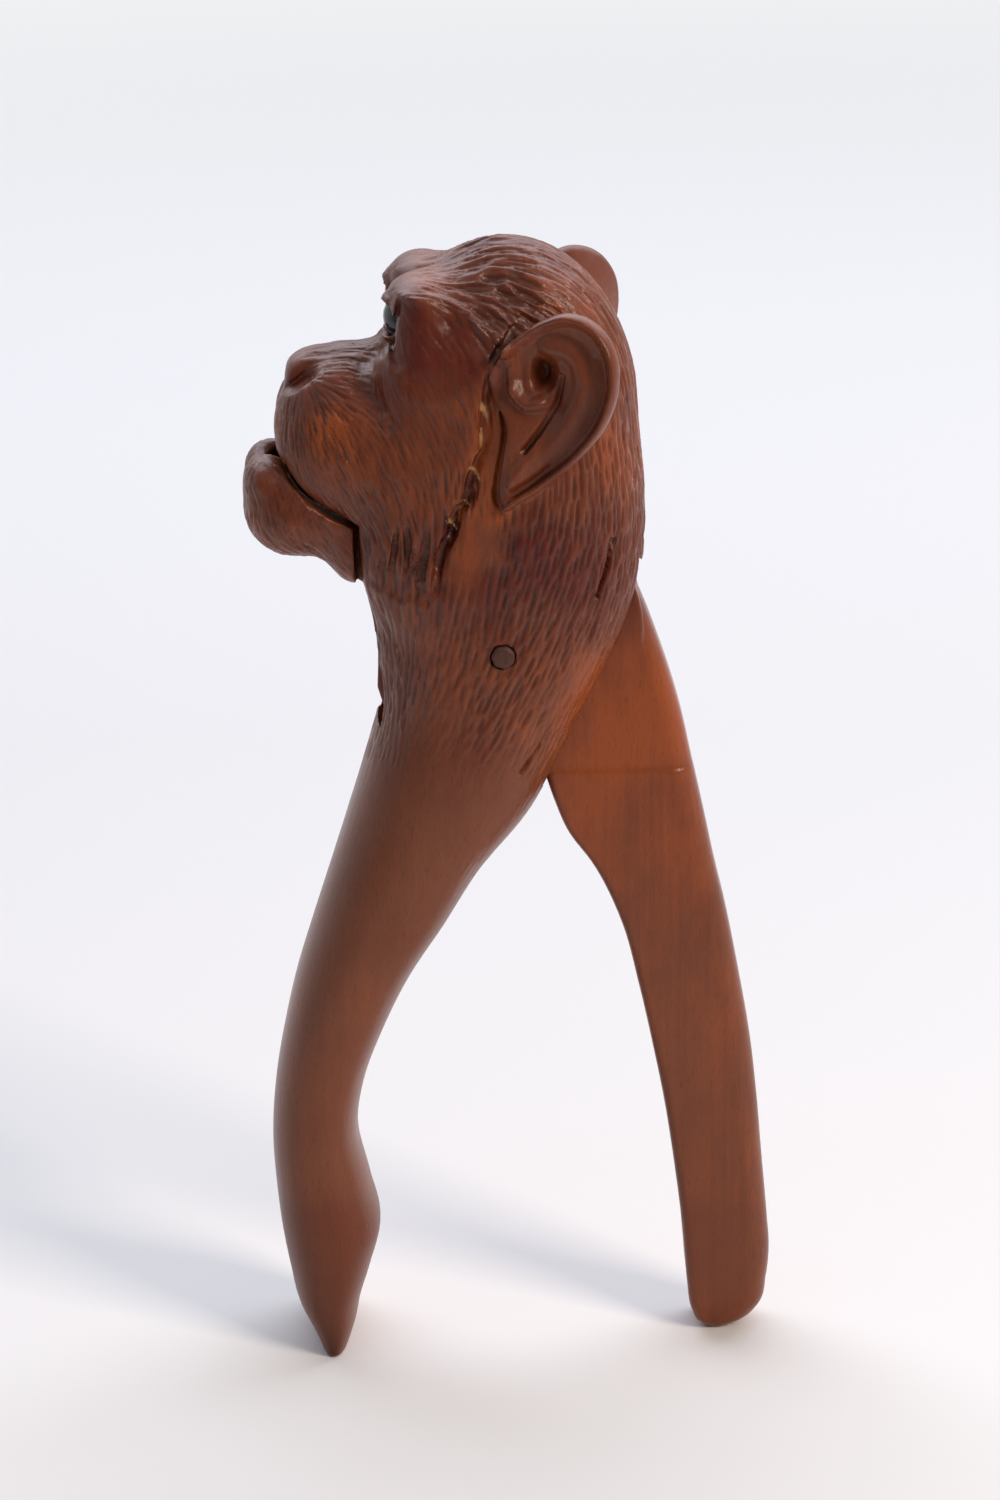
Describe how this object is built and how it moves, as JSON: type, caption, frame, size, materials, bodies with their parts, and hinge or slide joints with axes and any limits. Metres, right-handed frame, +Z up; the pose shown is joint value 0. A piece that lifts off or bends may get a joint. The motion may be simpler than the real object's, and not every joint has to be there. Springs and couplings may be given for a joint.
{
  "type": "figural lever nutcracker",
  "caption": "Carved wooden lever nutcracker in the form of a monkey's head: squeezing its long handles closes the hinged lower jaw on a nut held in the mouth.",
  "frame": {"origin": "middle of the bounding box's underside, on the plane that both feet stand on", "axes": "+Z up, -X the way the face looks, +Y the animal's right side"},
  "size_m": [0.0884, 0.0564, 0.1998],
  "materials": {
    "polished_wood": "carved and wax polished, reddish brown",
    "rubbed_wood": "flat planed and wax polished, warmer where rubbed",
    "peg_wood": "cut dowel, dark with age",
    "eye_glass": "polished dark glass",
    "eye_paint": "brown enamel"
  },
  "bodies": {
    "head": {"head_lever": "polished_wood", "pivot_peg": "peg_wood", "eye_glass_left": "eye_glass", "eye_glass_right": "eye_glass", "eye_iris_left": "eye_paint", "eye_iris_right": "eye_paint"},
    "jaw": {"jaw_lever": "rubbed_wood"}
  },
  "joints": [
    {"name": "jaw_hinge", "type": "hinge", "parent": "head", "child": "jaw", "pos_m": [-0.0011, 0, 0.1324], "axis": [0, -1, 0], "range_deg": [0, 30]}
  ]
}
